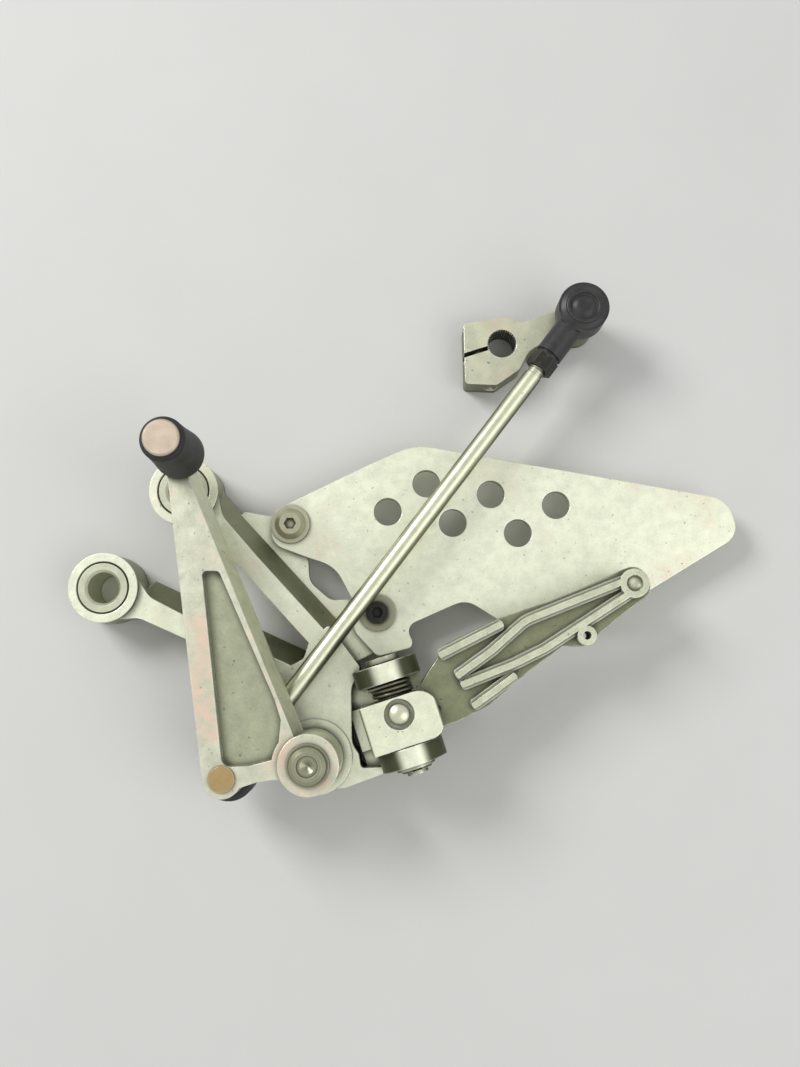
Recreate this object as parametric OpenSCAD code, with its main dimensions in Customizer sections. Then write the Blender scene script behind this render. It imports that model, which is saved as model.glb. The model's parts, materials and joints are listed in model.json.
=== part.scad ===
// Left-hand rear-set footrest bracket of a motorcycle: a cast hanger with two mounting eyes,
// a drilled heel guard, a gear pedal with its shift rod and spindle arm, and a folding footpeg.
// Lengths are in millimetres. The origin is the centre of the front mounting eye at its back
// face. +X runs to the rear, +Y up, and +Z outwards, away from the motorcycle.

/* [Mounting eyes] */
// Distance from the front eye to the top eye, to the rear
eye_span_x = 30.4; // [27:0.1:34]
// Distance from the front eye to the top eye, upwards
eye_span_y = 38.3; // [36:0.1:42]
// Outer radius of each eye
eye_r = 13.6; // [12.6:0.1:15]
// Thickness of each eye
eye_t = 18; // [16.5:0.1:19]
// Outer radius of the collar in each eye
collar_r = 9.6; // [8.5:0.1:10.5]
// Radius of the collar's bolt hole
collar_bore_r = 6.1; // [4.5:0.05:7]
// Chamfer at the mouth of the bolt hole
collar_chamfer = 1; // [0.4:0.1:1.4]

/* [Hanger casting] */
// Width of the front face of each arm
arm_w = 7.8; // [6:0.1:10]
// Height of the arms and the body above the back face
arm_top = 16; // [14:0.1:16.4]
// Width of the drafted side along each arm
arm_draft = 7.2; // [5:0.1:7.6]
// Height of the underside of the arms
arm_base = 3; // [1:0.1:5]
// Width of the chamfer round each collar
eye_chamfer = 0.8; // [0.4:0.1:1.2]
// Thickness of the web that carries the heel guard
web_t = 4; // [3:0.1:5]
// Distance from the front eye to the pedal pivot, to the rear
pivot_x = 83.2; // [80:0.1:86]
// Distance from the front eye down to the pedal pivot
pivot_drop = 64.8; // [62:0.1:68]
// Radius of the pivot boss
boss_r = 14.4; // [13:0.1:15]
// Height of the pivot boss
boss_h = 16.5; // [16.3:0.1:16.8]

/* [Footpeg clevis] */
// Distance from the front eye to the middle of the hinge, to the rear
hinge_x = 115.6; // [114:0.1:118]
// Distance from the front eye down to the middle of the hinge
hinge_drop = 47.3; // [46:0.1:49]
// Height of the hinge pin above the back face
hinge_z = 26; // [24.5:0.1:28]
// Angle of the folded knuckle to the X axis
hinge_turn = 18; // [15:0.5:21]
// Clear width between the two ears
ear_gap = 24.6; // [23.5:0.1:26]
// Thickness of each ear
ear_t = 7; // [5.5:0.1:8]
// Radius of the round top of each ear
ear_r = 12.5; // [10:0.1:13]
// Radius of the hinge pin
pin_r = 4; // [3:0.05:5]
// Height of the floor between the ears
floor_h = 9; // [7:0.1:9.6]

/* [Heel guard] */
// Distance from the front eye to the guard's tip, to the rear
guard_reach = 250.2; // [240:0.1:258]
// Thickness of the guard plate
guard_t = 4; // [2.5:0.1:4.4]
// Radius of the lightening holes
guard_hole_r = 5.6; // [4:0.1:6.4]
// Radius of the flange of the front guard bolt
front_bolt_head_r = 7.6; // [6:0.1:8]
// Radius of the head of the rear guard bolt
rear_bolt_head_r = 4.4; // [4:0.1:5.5]
// Radius of the washer under the rear guard bolt
rear_washer_r = 7.2; // [6:0.1:7.8]
// Radius of the shanks of both guard bolts
guard_bolt_r = 3; // [2.5:0.05:3.5]

/* [Gear pedal] */
// Height of the underside of the pedal
pedal_base = 31; // [30.5:0.1:32]
// Thickness of the pedal
pedal_t = 11; // [9:0.1:12.5]
// Depth of the pocket in the pedal's face
pocket_depth = 3.4; // [1:0.1:6]
// Width of the drafted rear side of the pedal
pedal_draft = 2.7; // [2:0.1:3.2]
// Offset of the pedal's rear edge from the axis of the toe peg
rear_toe = 2.2; // [1.8:0.1:2.6]
// Offset of the pedal's rear edge from the axis of the pivot
rear_hub = 1.7; // [1.6:0.1:2]
// Radius of the pedal's hub
hub_r = 11; // [10:0.1:12.5]
// Height of the hub above the pedal's face
hub_rise = 1.6; // [0.6:0.1:2.5]
// Radius of the shank of the pivot bolt
pivot_bolt_r = 5; // [4:0.05:6]
// Wall of the bush in the hub
bush_wall = 2; // [1.5:0.1:2.5]
// Radius of the head of the pivot bolt
pivot_head_r = 6.6; // [6:0.1:7.4]
// Radius of the pedal's end that carries the ball stud
lobe_r = 7; // [6:0.1:8]
// Radius of the riveted end of the ball stud
stud_head_r = 4.7; // [4:0.1:5.2]
// Distance from the front eye to the toe peg, to the rear
toe_x = 34.4; // [33:0.1:36]
// Distance from the front eye up to the toe peg
toe_y = 47.7; // [44:0.1:50]
// Length of the rubber on the toe peg
toe_len = 28; // [20:0.1:32]
// Radius of the rubber at its foot
toe_r = 9.3; // [8:0.1:11]
// Radius of the rubber at its end
toe_end_r = 8; // [7.3:0.1:9]
// Radius of the metal end of the toe peg
toe_cap_r = 6.4; // [5.8:0.1:7]

/* [Shift rod] */
// Distance from the front eye to the lower ball, to the rear
low_ball_x = 52.4; // [51:0.1:54]
// Distance from the front eye down to the lower ball
low_ball_drop = 69.8; // [68:0.1:72]
// Distance between the centres of the two balls
rod_span = 225.6; // [215:0.1:235]
// Angle of the shift rod to the X axis
rod_turn = 52.9; // [52.5:0.1:54]
// Height of the rod and of both balls
rod_z = 22; // [21.7:0.1:22.3]
// Radius of the shift rod
rod_r = 3.6; // [3:0.05:3.7]
// Radius of the round heads of the rod ends
head_r = 10; // [9.4:0.1:10.6]
// Height of the round heads of the rod ends
head_t = 11; // [10:0.1:11.4]
// Length from a ball to the end of its rod end
rod_end_len = 24; // [22:0.1:28]
// Radius of the balls
ball_r = 5; // [4.2:0.1:5.5]
// Radius of the ball studs
stud_r = 3.6; // [3:0.1:4]
// Distance across the corners of the jam nuts
jam_nut_d = 11.4; // [10:0.1:11.6]
// Thickness of the jam nuts
jam_nut_t = 6; // [4:0.1:8]

/* [Spindle arm] */
// Distance from the upper ball to the spindle bore
arm_len = 32.4; // [30:0.1:35]
// Angle of the spindle arm to the X axis, seen from the upper ball
arm_turn = 197.8; // [195:0.1:200]
// Thickness of the spindle arm
arm_t = 12; // [10:0.1:12.4]
// Radius of the spindle bore
spindle_r = 5.9; // [5:0.05:6.5]
// Width of the clamp's slot
slot_w = 1.8; // [1:0.1:3]
// Radius of the pinch bolt's hole
pinch_r = 2.6; // [2.1:0.1:2.7]

/* [Footpeg] */
// Width of the knuckle along the hinge pin
knuckle_w = 18.2; // [16:0.1:18.4]
// Length of the knuckle behind the hinge pin
knuckle_back = 13.6; // [12:0.1:14.5]
// Length of the knuckle in front of the hinge pin
knuckle_front = 14.6; // [13:0.1:16]
// Height of the knuckle above the hinge pin
knuckle_rise = 12; // [10:0.1:12.5]
// Radius of the knuckle's barrel round the pin
barrel_r = 8; // [6.8:0.1:8.4]
// Angle of the footpeg to the knuckle
peg_turn = 10.5; // [8:0.5:13]
// Length of the footpeg from the hinge pin to its tip
peg_len = 107; // [100:0.1:115]
// Thickness of the footpeg casting
peg_t = 8; // [6:0.1:9]
// Height of the ribs on the footpeg
rib_h = 3; // [1:0.1:4]
// Radius of the head of the pin's lock screw
lock_head_r = 3.8; // [3:0.1:4.4]
// Radius of the wire of the return spring
spring_wire_r = 0.8; // [0.5:0.05:0.9]

/* [Hidden] */
$fn = 64;
eps = 0.01;
// Radial play of a pin that turns in its hole
running = 0.05;
// Play between faces that turn past each other
side_play = 0.3;
// Length by which a cut runs past a face
over = 2;

top_eye = [eye_span_x, eye_span_y];
pivot = [pivot_x, -pivot_drop];
hinge = [hinge_x, -hinge_drop];
toe = [toe_x, toe_y];
low_ball = [low_ball_x, -low_ball_drop];
up_ball = low_ball + rod_span * [cos(rod_turn), sin(rod_turn)];
spindle = up_ball + arm_len * [cos(arm_turn), sin(arm_turn)];
guard_z = arm_base + web_t;
guard_top = guard_z + guard_t;
// Share by which the outlines of the hanger and of the guard grow with their named sizes
plan = pivot_x / 83.2;
guard_plan = guard_reach / 250.2;
front_guard_bolt = [72.2, 25.8] * guard_plan;
rear_guard_bolt = [106.9, -9.5] * guard_plan;
guard_holes = [[111, 30.9], [126.5, 42.3], [137, 26.4], [152.3, 38], [163, 22.3], [178.4, 33.6]] * guard_plan;
lug_r = front_bolt_head_r + 1;

pedal_top = pedal_base + pedal_t;
hub_base = boss_h + side_play;
hub_top = pedal_top + hub_rise;
bush_r = pivot_bolt_r + running + bush_wall;
pivot_washer_t = 1;
head_base = rod_z - head_t / 2;
head_top = rod_z + head_t / 2;
arm_top_z = arm_t;
hinge_len = ear_gap + 2 * ear_t;
spring_r = barrel_r - spring_wire_r;
knuckle_y0 = side_play - ear_gap / 2;
knuckle_y1 = knuckle_y0 + knuckle_w;
knuckle_mid = (knuckle_y0 + knuckle_y1) / 2;
peg_root = 10;

// Name of every sub-part

// Unit vector along v
function unit(v) = v / norm(v);
// Angle of v to the X axis
function heading(v) = atan2(v[1], v[0]);
// Points of the arc of radius r round the centre c, from one angle to another
function arc(c, r, from_a, to_a, steps = 16) =
    [for (k = [0:steps]) c + r * [cos(from_a + (to_a - from_a) * k / steps), sin(from_a + (to_a - from_a) * k / steps)]];
// Points of the arc of radius r that rounds the corner c between its neighbours p and n
function corner_arc(p, c, n, r, steps = 6) =
    let (
        to_p = unit(p - c),
        to_n = unit(n - c),
        half = acos(to_p * to_n) / 2,
        centre = c + unit(to_p + to_n) * r / sin(half),
        from_a = heading(c + to_p * r / tan(half) - centre),
        to_a = heading(c + to_n * r / tan(half) - centre),
        sweep = ((to_a - from_a + 540) % 360) - 180
    )
    norm(to_p + to_n) < 0.01 ? [c] : arc(centre, r, from_a, from_a + sweep, steps);
// Outline with each corner [x, y, radius] rounded
function rounded(corners) =
    let (n = len(corners), xy = [for (c = corners) [c[0], c[1]]])
    [for (i = [0:n - 1]) each corner_arc(xy[(i + n - 1) % n], xy[i], xy[(i + 1) % n], corners[i][2])];
// Four points where two circles share their outer tangents
function tangents(a, ra, b, rb) =
    let (way = heading(b - a), lean = acos((ra - rb) / norm(b - a)))
    [
        a + ra * [cos(way + lean), sin(way + lean)],
        b + rb * [cos(way + lean), sin(way + lean)],
        b + rb * [cos(way - lean), sin(way - lean)],
        a + ra * [cos(way - lean), sin(way - lean)]
    ];

// Extrudes a flat shape from height z0 to z1
module slab(z0, z1) {
    translate([0, 0, z0]) linear_extrude(z1 - z0) children();
}

// Round bar along Z at the point p
module post(p, r, z0, z1) {
    translate([p[0], p[1], z0]) cylinder(r = r, h = z1 - z0);
}

// Bar of the given [across, height] section along the line from a to b
module along(a, b) {
    translate([a[0], a[1], 0])
        rotate([0, 0, heading(b - a)])
            rotate([90, 0, 90]) linear_extrude(norm(b - a)) children();
}

// Frame of the hinge: X along the knuckle, Y along the pin, Z up
module at_hinge() {
    translate([hinge[0], hinge[1], hinge_z]) rotate([0, 0, hinge_turn]) children();
}

// Round bar along the hinge pin from y0 to y1, in the frame of the hinge
module barrel(r, y0, y1) {
    translate([0, y1, 0]) rotate([90, 0, 0]) cylinder(r = r, h = y1 - y0);
}

// Frame of the shift rod: X along the rod from the lower ball, Z up
module at_rod() {
    translate([low_ball[0], low_ball[1], rod_z]) rotate([0, 0, rod_turn]) children();
}

// Round bar along the shift rod from x0 to x1, in the frame of the rod
module rod_bar(r, x0, x1) {
    translate([x0, 0, 0]) rotate([0, 90, 0]) cylinder(r = r, h = x1 - x0);
}

// Outline of an arm from an eye at the origin, past a knee, to its foot
function arm_outline(knee, foot) =
    let (
        out = unit(knee),
        side = [-out[1], out[0]],
        on = unit(foot - knee),
        off = [-on[1], on[0]],
        half = arm_w / 2,
        path = [
            [-2 * out + (eye_r - 5) * side, 1],
            [(eye_r * 0.68) * (out + side), 1],
            [(eye_r + 4) * out + (half + 0.6) * side, 9],
            [knee + half * off, 20],
            [foot + half * off, 1],
            [foot - half * off, 1],
            [knee - half * off, 20],
            [(eye_r + 4) * out - (half + 0.6) * side, 9],
            [(eye_r * 0.68) * (out - side), 1],
            [-2 * out - (eye_r - 5) * side, 1]
        ]
    )
    rounded([for (c = path) [c[0][0], c[0][1], c[1]]]);

// Hanger casting
arm_knee = [34.5, -16.5] * plan;
arm_foot = [75, -35] * plan;
top_arm_foot = [84, -19.5] * plan;
body_outline = rounded([
    [62, -36, 6], [78.5, -27.5, 3], [80.5, -21, 2], [88, -14.5, 1], [100.6, -31, 2.5],
    [97, -38.5, 8], [97.4, -60, 8], [100, -63.5, 1.5], [101, -69, 1.6], [109.4, -68.6, 0.6],
    [109.4, -71.2, 0.6], [94.4, -76.6, 4], [84, -76, 3], [74, -62, 6]
] * plan);
web_outline = rounded([
    [47, 26, 2], [53, 31.5, 2], [64, 29.5, 10], [73.5, 31, 3], [78.7, 15, 4], [79.6, 3, 7],
    [88, -4.2, 5], [100, -4, 6], [114, -9, 5], [108, -24, 3], [98, -29, 2], [84, -22, 2], [60, 6, 2]
] * guard_plan);
module hanger() {
    color([0.92, 0.93, 0.84]) difference() {
        union() {
            post([0, 0], eye_r, 0, eye_t);
            post(top_eye, eye_r, 0, eye_t);
            slab(arm_base, arm_top) hanger_arms();
            along(arm_knee - 24 * unit(arm_foot - arm_knee), arm_foot) arm_side();
            along(top_eye + 8 * unit(top_arm_foot - top_eye), top_arm_foot) arm_side();
            slab(arm_base, guard_z) {
                polygon(web_outline);
                translate(front_guard_bolt) circle(r = lug_r);
                translate(rear_guard_bolt) circle(r = lug_r - 0.4);
            }
            slab(0, arm_top) polygon(body_outline);
            post(pivot, boss_r, 0, boss_h);
            clevis();
        }
        for (eye = [[0, 0], top_eye]) {
            post(eye, collar_r, -over, eye_t + over);
            translate([eye[0], eye[1], eye_t - eye_chamfer])
                cylinder(r1 = collar_r, r2 = collar_r + 2 * eye_chamfer, h = 2 * eye_chamfer);
        }
        post(front_guard_bolt, guard_bolt_r, -over, guard_z + over);
        post(rear_guard_bolt, guard_bolt_r, -over, guard_z + over);
        post(pivot, pivot_bolt_r, -over, boss_h + over);
        at_hinge() barrel(pin_r + running, -hinge_len / 2 - over, hinge_len / 2 + over);
    }
}
// Front faces of the two arms, each blended into its eye
module hanger_arms() {
    polygon(arm_outline(arm_knee, arm_foot));
    translate(top_eye) polygon(arm_outline((top_arm_foot - top_eye) / 2, top_arm_foot - top_eye));
}
// Section of the drafted side of an arm
module arm_side() {
    foot = arm_w / 2 + arm_draft;
    polygon([[0, arm_base + 1], [foot, arm_base + 1], [foot, guard_z - 1.5], [arm_w / 2 - 0.2, arm_top], [0, arm_top]]);
}
// Two ears on a floor, with a ledge that stops the open footpeg
module clevis() {
    reach = knuckle_back + 5;
    at_hinge() {
        for (side = [-1, 1])
            translate([0, side * (ear_gap + ear_t) / 2 + ear_t / 2, 0])
                rotate([90, 0, 0]) linear_extrude(ear_t) {
                    circle(r = ear_r);
                    translate([-ear_r, -hinge_z]) square([2 * ear_r, hinge_z]);
                }
        translate([-reach, -hinge_len / 2, -hinge_z]) cube([reach + ear_r, hinge_len, floor_h]);
        translate([-reach, knuckle_y0 + 1, -hinge_z])
            cube([reach - barrel_r - 1, knuckle_w - 2, hinge_z - knuckle_back - side_play]);
    }
}

// Collar pressed into a mounting eye
module eye_collar(p) {
    color([0.9, 0.9, 0.8]) translate([p[0], p[1], 0]) difference() {
        cylinder(r = collar_r, h = eye_t);
        translate([0, 0, -over]) cylinder(r = collar_bore_r, h = eye_t + 2 * over);
        translate([0, 0, eye_t - collar_chamfer])
            cylinder(r1 = collar_bore_r, r2 = collar_bore_r + 2 * collar_chamfer, h = 2 * collar_chamfer);
    }
}
module front_eye_collar() {
    eye_collar([0, 0]);
}
module top_eye_collar() {
    eye_collar(top_eye);
}

// Heel guard plate with its six lightening holes
guard_outline = rounded([
    [65.5, 31.5, 5], [104, 50.4, 20], [122, 58.3, 22], [247.5, 36, 11], [251.5, 21.5, 8],
    [206, -6, 16], [158, -14.2, 4], [142, -4.2, 9], [118, -14.8, 4], [121.8, -22.8, 2.5],
    [107, -26.6, 3], [97.5, -16.5, 8], [97, -4, 6], [90, 9, 14], [79, 12.6, 8], [63.8, 18.2, 7]
] * guard_plan);
module heel_guard() {
    color([0.93, 0.94, 0.85]) difference() {
        slab(guard_z, guard_top) polygon(guard_outline);
        for (p = guard_holes)
            post(p, guard_hole_r, guard_z - over, guard_top + over);
        post(front_guard_bolt, guard_bolt_r, guard_z - over, guard_top + over);
        post(rear_guard_bolt, guard_bolt_r, guard_z - over, guard_top + over);
    }
}

// Flanged button-head bolt at the front of the guard
module front_guard_bolt() {
    color([0.68, 0.68, 0.6]) translate([front_guard_bolt[0], front_guard_bolt[1], 0]) difference() {
        union() {
            translate([0, 0, arm_base]) cylinder(r = guard_bolt_r, h = guard_top - arm_base);
            translate([0, 0, guard_top]) cylinder(r = front_bolt_head_r, h = 1.4);
            translate([0, 0, guard_top + 1.4])
                cylinder(r1 = front_bolt_head_r - 1.4, r2 = front_bolt_head_r - 3.4, h = 2.4);
        }
        translate([0, 0, guard_top + 1.4]) cylinder(d = 5, h = 4, $fn = 6);
    }
}
// Black socket bolt at the rear of the guard
module rear_guard_bolt() {
    washer_t = 1.2;
    color([0.12, 0.12, 0.13]) translate([rear_guard_bolt[0], rear_guard_bolt[1], 0]) difference() {
        union() {
            translate([0, 0, arm_base]) cylinder(r = guard_bolt_r, h = guard_top + washer_t - arm_base);
            translate([0, 0, guard_top + washer_t]) cylinder(r = rear_bolt_head_r, h = 3);
        }
        translate([0, 0, guard_top + washer_t + 1]) cylinder(d = 5, h = 4, $fn = 6);
    }
}
module rear_guard_washer() {
    color([0.4, 0.42, 0.32]) translate([rear_guard_bolt[0], rear_guard_bolt[1], guard_top])
        difference() {
            cylinder(r = rear_washer_r, h = 1.2);
            translate([0, 0, -over]) cylinder(r = guard_bolt_r, h = 1.2 + 2 * over);
        }
}

// Shoulder bolt that the pedal turns on
module pivot_bolt() {
    head_z = hub_top + side_play + pivot_washer_t;
    color([0.75, 0.76, 0.66]) translate([pivot[0], pivot[1], 0]) difference() {
        union() {
            translate([0, 0, 2]) cylinder(r = pivot_bolt_r, h = head_z - 2);
            translate([0, 0, head_z]) cylinder(r = pivot_head_r, h = 1.6);
            translate([0, 0, head_z + 1.6]) cylinder(r1 = pivot_head_r, r2 = pivot_head_r - 1.4, h = 1.2);
        }
        translate([0, 0, head_z + 2]) cylinder(r = pivot_head_r * 0.6, h = 2);
        translate([0, 0, head_z + 0.6]) cylinder(r1 = 0.4, r2 = pivot_head_r * 0.42, h = 1.5);
        translate([0, 0, 0]) cylinder(r = 3.4, h = 6, $fn = 6);
    }
}
module pivot_washer() {
    color([0.66, 0.67, 0.58]) translate([pivot[0], pivot[1], hub_top + side_play]) difference() {
        cylinder(r = pivot_head_r + 1, h = pivot_washer_t);
        translate([0, 0, -over]) cylinder(r = pivot_bolt_r, h = pivot_washer_t + 2 * over);
    }
}

// Gear pedal: a drafted lever with a pocket, a hub and an end for the ball stud
toe_lobe_r = 5.6;
front_edge = tangents(toe, toe_lobe_r, low_ball, lobe_r);
rear_edge = tangents(toe, rear_toe, pivot, rear_hub);
pedal_pocket = rounded([
    [43.4, 4.6, 1.5], [49.7, 4.6, 2], [70.9, -42, 3], [73.2, -49, 2], [72, -62.6, 2],
    [62, -65.2, 6], [52.4, -65.6, 3.4]
] * plan);
module pedal() {
    color([0.72, 0.74, 0.62]) difference() {
        union() {
            difference() {
                slab(pedal_base, pedal_top) pedal_plan();
                along(rear_edge[0], rear_edge[1]) pedal_side();
            }
            post(toe, toe_lobe_r, pedal_base, pedal_top);
            post(pivot, hub_r, hub_base, hub_top);
        }
        slab(pedal_top - pocket_depth, pedal_top + over) difference() {
            polygon(pedal_pocket);
            translate(pivot) circle(r = hub_r + 2.2);
        }
        post(pivot, bush_r, hub_base - over, hub_top + over);
        post(low_ball, stud_r, pedal_base - over, pedal_top + over);
        post(toe, toe_cap_r - 1.4, pedal_base - over, pedal_top + over);
    }
}
// Section cut from the drafted rear side of the pedal
module pedal_side() {
    polygon([
        [over, pedal_base + 3], [0, pedal_base + 3], [-pedal_draft, pedal_top],
        [-pedal_draft, pedal_top + over], [over, pedal_top + over]
    ]);
}
// Outline of the pedal seen from outside, with a waist between the hub and the ball stud
module pedal_plan() {
    polygon(concat(
        arc(toe, toe_lobe_r, heading(front_edge[3] - toe) + 360, heading(rear_edge[0] - toe)),
        [rear_edge[0], rear_edge[1]],
        arc(pivot, hub_r - 0.3, heading(rear_edge[1] - pivot), -146),
        [for (t = [0.2, 0.4, 0.6, 0.8]) pivot * (1 - t) + low_ball * t - [0, 3 + 14 * pow(t - 0.52, 2)]],
        arc(low_ball, lobe_r, -32, heading(front_edge[2] - low_ball))
    ));
}
module pivot_bush() {
    color([0.72, 0.55, 0.3]) translate([pivot[0], pivot[1], hub_base]) difference() {
        cylinder(r = bush_r, h = hub_top - hub_base);
        translate([0, 0, -over]) cylinder(r = pivot_bolt_r + running, h = hub_top - hub_base + 2 * over);
    }
}
// Toe peg: a riveted stem with a wide end, inside a rubber sleeve
module toe_peg_stem() {
    color([0.88, 0.87, 0.78]) translate([toe[0], toe[1], 0]) {
        translate([0, 0, pedal_base]) cylinder(r = toe_cap_r - 1.4, h = pedal_t + toe_len);
        translate([0, 0, pedal_top + toe_len]) cylinder(r = toe_cap_r, h = 1.2);
        translate([0, 0, pedal_top + toe_len + 1.2]) cylinder(r1 = toe_cap_r, r2 = toe_cap_r - 0.6, h = 0.6);
    }
}
module toe_peg_rubber() {
    color([0.1, 0.1, 0.11]) translate([toe[0], toe[1], pedal_top]) rotate_extrude()
        polygon(concat(
            [[toe_cap_r - 1.4, 0], [toe_r - 0.8, 0], [toe_r, 0.8], [toe_r, 3]],
            [for (i = [1:8]) [toe_end_r + (toe_r - toe_end_r) * pow(1 - i / 8, 1.6), 3 + (toe_len - 4) * i / 8]],
            [[toe_end_r - 1, toe_len], [toe_cap_r - 1.4, toe_len]]
        ));
}

// Ball on a stud: the stud runs from the ball up or down to the end z1
module ball_stud(p, z_seat, z1, end_r) {
    color([0.78, 0.68, 0.38]) {
        translate([p[0], p[1], rod_z]) sphere(r = ball_r);
        post(p, stud_r - 0.4, min(rod_z, z_seat), max(rod_z, z_seat));
        post(p, stud_r, min(z_seat, z1), max(z_seat, z1));
    }
}
module lower_ball_stud() {
    ball_stud(low_ball, pedal_base, pedal_top, stud_r);
    color([0.78, 0.68, 0.38]) post(low_ball, stud_head_r, pedal_top, pedal_top + 0.8);
}
module upper_ball_stud() {
    ball_stud(up_ball, arm_top_z, 0.4, stud_r);
}

// Rod end, in the frame of the rod with the ball at the origin and the mouth at +Z
module rod_end() {
    mouth_r = stud_r + 2.2;
    difference() {
        union() {
            translate([0, 0, -head_t / 2]) cylinder(r = head_r, h = head_t - 1);
            translate([0, 0, head_t / 2 - 1]) cylinder(r1 = head_r, r2 = head_r - 1.4, h = 1);
            translate([0, 0, -head_t / 2 - 1]) cylinder(r1 = head_r - 2.6, r2 = head_r - 1, h = 1);
            rod_bar(head_t / 2, 0, rod_end_len - 1.5);
            rod_bar(head_t / 2 - 1, 0, rod_end_len);
        }
        sphere(r = ball_r + side_play);
        cylinder(r = mouth_r, h = head_t);
        rod_bar(rod_r - 0.4, ball_r + 4, rod_end_len + over);
    }
}
module lower_rod_end() {
    color([0.1, 0.1, 0.11]) at_rod() rod_end();
}
module upper_rod_end() {
    color([0.1, 0.1, 0.11]) at_rod() translate([rod_span, 0, 0]) rotate([180, 0, 180]) rod_end();
}
// Rubber boot between a rod end and the face that its stud is fixed to
module boot(p, z0, z1) {
    foot = z1 > z0 ? 1 : -1;
    color([0.06, 0.06, 0.06]) translate([p[0], p[1], z0]) mirror([0, 0, z1 > z0 ? 0 : 1])
        difference() {
            union() {
                cylinder(r = head_r - 1.6, h = 1.2);
                translate([0, 0, 1.2]) cylinder(r1 = head_r - 1.6, r2 = stud_r + 1.6, h = foot * (z1 - z0) - 1.2);
            }
            translate([0, 0, -over]) cylinder(r = stud_r - 0.4, h = foot * (z1 - z0) + 2 * over);
        }
}
module lower_boot() {
    boot(low_ball, head_top, pedal_base - side_play);
}
module upper_boot() {
    boot(up_ball, head_base, arm_top_z + side_play);
}
// Shift rod, with thin threaded ends in both rod ends
module shift_rod() {
    neck = rod_end_len + jam_nut_t + 3;
    color([0.75, 0.76, 0.65]) at_rod() {
        rod_bar(rod_r - 0.4, ball_r + 5, rod_span - ball_r - 5);
        rod_bar(rod_r, neck, rod_span - neck);
    }
}
// Hexagon jam nut on the rod, starting at x
module jam_nut(x) {
    at_rod() translate([x, 0, 0]) rotate([0, 90, 0]) difference() {
        rotate([0, 0, 30]) cylinder(d = jam_nut_d, h = jam_nut_t, $fn = 6);
        translate([0, 0, -over]) cylinder(r = rod_r - 0.4, h = jam_nut_t + 2 * over);
    }
}
module lower_jam_nut() {
    color([0.2, 0.2, 0.2]) jam_nut(rod_end_len);
}
module upper_jam_nut() {
    color([0.2, 0.2, 0.2]) jam_nut(rod_span - rod_end_len - jam_nut_t);
}

// Split arm that clamps on the gearbox spindle, in its own frame: X from the bore to the ball
jaw_len = 19.6;
arm_plan = arm_len / 32.4;
module spindle_arm() {
    color([0.9, 0.9, 0.8]) translate([spindle[0], spindle[1], 0]) rotate([0, 0, arm_turn - 180])
        difference() {
            slab(0, arm_t) {
                translate([arm_len, 0]) circle(r = 8 * arm_plan);
                polygon(rounded([
                    [-12.4, 12.8, 1.5], [-jaw_len, -11.4, 1.5], [-7.6, -15.8, 2], [3.4, -12.4, 3], [10, -5.8, 8],
                    [22, -5, 6], [32.6, -7.6, 2], [32.6, 7.6, 2], [22, 6.4, 6], [11, 5.6, 8], [4, 10.6, 5]
                ] * arm_plan));
            }
            post([0, 0], spindle_r, -over, arm_t + over);
            translate([-jaw_len - over, -slot_w / 2, -over]) cube([jaw_len + over, slot_w, arm_t + 2 * over]);
            translate([-spindle_r - pinch_r - 1, 20, arm_t / 2]) rotate([90, 0, 0]) cylinder(r = pinch_r, h = 40);
            post([arm_len, 0], stud_r, -over, arm_t + over);
        }
}

// Hinge pin with a flat head, a groove for its clip and a drilled seat for the lock screw
pin_head_t = 2;
pin_end = hinge_len / 2 + 4;
clip_y = hinge_len / 2 + 1.6;
lock_r = 2;
module hinge_pin() {
    color([0.7, 0.7, 0.62]) at_hinge() difference() {
        union() {
            barrel(pin_r, -pin_end, hinge_len / 2 + side_play);
            barrel(pin_r + 2.4, hinge_len / 2 + side_play, hinge_len / 2 + side_play + pin_head_t);
        }
        translate([0, -clip_y, 0]) rotate([90, 0, 0]) difference() {
            cylinder(r = pin_r + 1, h = 1);
            translate([0, 0, -1]) cylinder(r = pin_r - 0.8, h = 3);
        }
        translate([0, 0, pin_r - 2]) cylinder(r = lock_r, h = 4);
    }
}
module hinge_washer() {
    color([0.8, 0.8, 0.7]) at_hinge() difference() {
        barrel(pin_r + 3.4, -clip_y, -clip_y + 1.3);
        barrel(pin_r, -clip_y - over, -clip_y + 1.3 + over);
    }
}
// Open retaining clip in the pin's groove
module hinge_clip() {
    color([0.55, 0.55, 0.5]) at_hinge() translate([0, -clip_y, 0]) rotate([90, 0, 0])
        linear_extrude(1) difference() {
            circle(r = pin_r + 1.8);
            circle(r = pin_r - 0.8);
            translate([-1.8, 0]) square([3.6, 20]);
        }
}
// Return spring: a coil of round wire round the barrel, with a straight leg at each end
turns = 2.25;
ring_count = 45;
coil_y0 = knuckle_y1 + spring_wire_r + side_play;
coil_y1 = ear_gap / 2 - spring_wire_r - side_play;
module return_spring() {
    sides = 8;
    rings = [for (i = [0:ring_count])
        let (a = 360 * turns * i / ring_count, y = coil_y0 + (coil_y1 - coil_y0) * i / ring_count)
        [for (k = [0:sides - 1])
            let (w = 360 * k / sides, r = spring_r + spring_wire_r * cos(w))
            [r * cos(a), y + spring_wire_r * sin(w), r * sin(a)]]];
    points = [for (ring = rings) each ring];
    n = len(rings);
    walls = [for (i = [0:n - 2], k = [0:sides - 1])
        let (j = (k + 1) % sides)
        each [
            [i * sides + k, i * sides + j, (i + 1) * sides + j],
            [i * sides + k, (i + 1) * sides + j, (i + 1) * sides + k]
        ]];
    color([0.4, 0.4, 0.38]) at_hinge() polyhedron(
        points = points,
        faces = concat(walls, [[for (k = [0:sides - 1]) sides - 1 - k]], [[for (k = [0:sides - 1]) (n - 1) * sides + k]])
    );
}

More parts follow.
